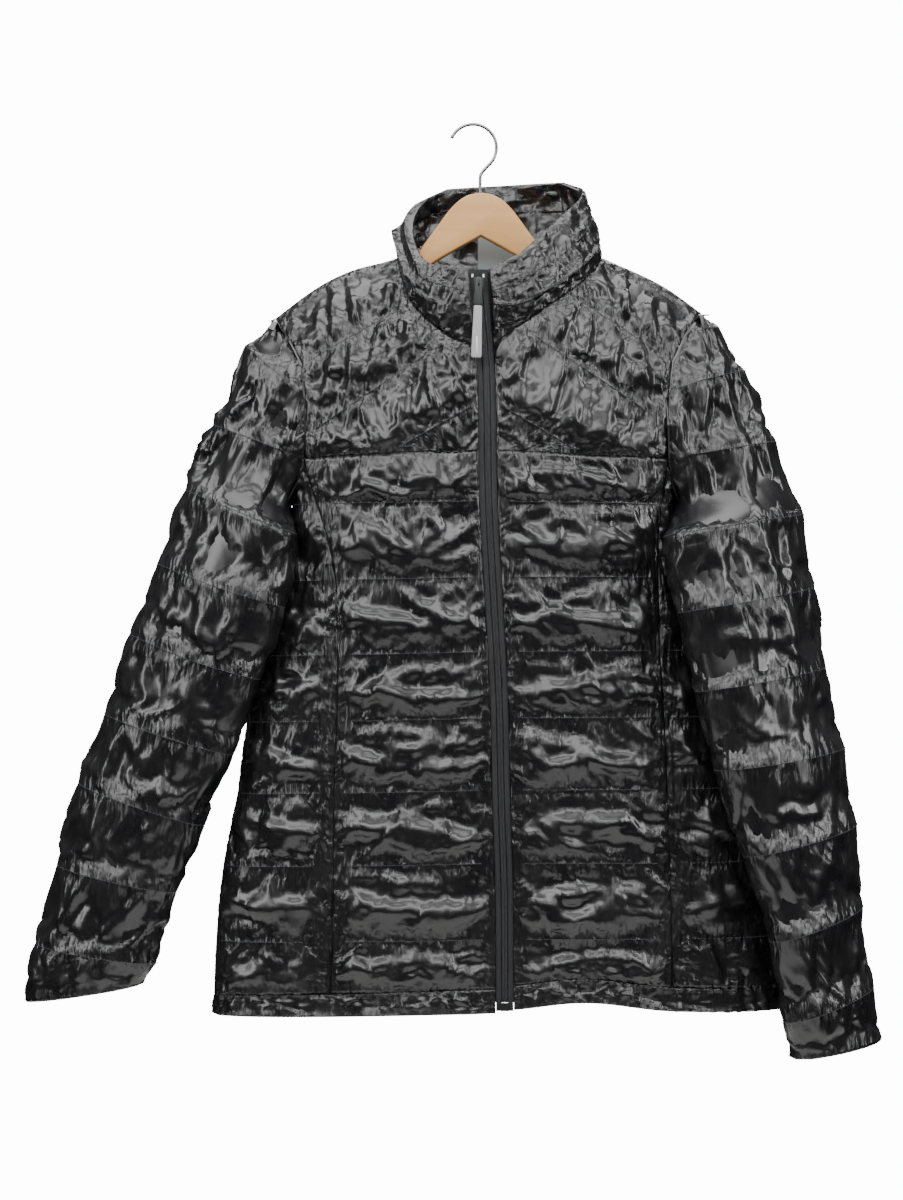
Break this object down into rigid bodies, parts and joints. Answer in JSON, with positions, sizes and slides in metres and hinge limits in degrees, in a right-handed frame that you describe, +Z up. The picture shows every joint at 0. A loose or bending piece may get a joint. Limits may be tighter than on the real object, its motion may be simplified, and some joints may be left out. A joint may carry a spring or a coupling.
{
  "type": "quilted jacket on a wooden hanger",
  "caption": "Black glossy quilted jacket with stand collar and full-length front zip, hanging closed on a flat wooden hanger with a wire hook.",
  "frame": {"origin": "underside of the crown of the hanger's hook, where it rests on a rail", "axes": "+Z up; the jacket's front faces -Y; +X is the wearer's left"},
  "size_m": [0.8183, 0.1588, 0.8874],
  "materials": {
    "shell_nylon": "glossy black woven nylon, quilted over thin padding",
    "zip_tape": "matt black woven zip tape",
    "zip_coil": "black nylon coil",
    "zip_metal": "dark grey lacquered zinc",
    "bare_metal": "bright crimped stops",
    "pull_rubber": "moulded grey soft plastic",
    "flap_cloth": "matt dark lining cloth",
    "label_cloth": "bare woven label",
    "hanger_wood": "pale satin-varnished wood",
    "hook_chrome": "bright plated wire"
  },
  "bodies": {
    "jacket": {"front_yoke_right": "shell_nylon", "front_yoke_left": "shell_nylon", "front_panel_right": "shell_nylon", "front_panel_left": "shell_nylon", "side_panel_right": "shell_nylon", "side_panel_left": "shell_nylon", "back_panel": "shell_nylon", "sleeve_right": "shell_nylon", "sleeve_left": "shell_nylon", "collar": "shell_nylon", "hem_band": "shell_nylon", "zip_tape_right": "zip_tape", "zip_tape_left": "zip_tape", "zip_chain": "zip_coil", "zip_slider": "zip_metal", "zip_stop_right": "bare_metal", "zip_stop_left": "bare_metal", "zip_box": "zip_metal", "wind_flap": "flap_cloth", "neck_label": "label_cloth", "hanger_body": "hanger_wood", "hanger_hook": "hook_chrome"},
    "zip_pull": {"zip_pull_link": "zip_metal", "zip_pull_tab": "pull_rubber"}
  },
  "joints": [
    {"name": "zip_pull_swing", "type": "hinge", "parent": "jacket", "child": "zip_pull", "pos_m": [0.0046, -0.06911, -0.1575], "axis": [-1, 0, 0], "range_deg": [0, 150]}
  ]
}
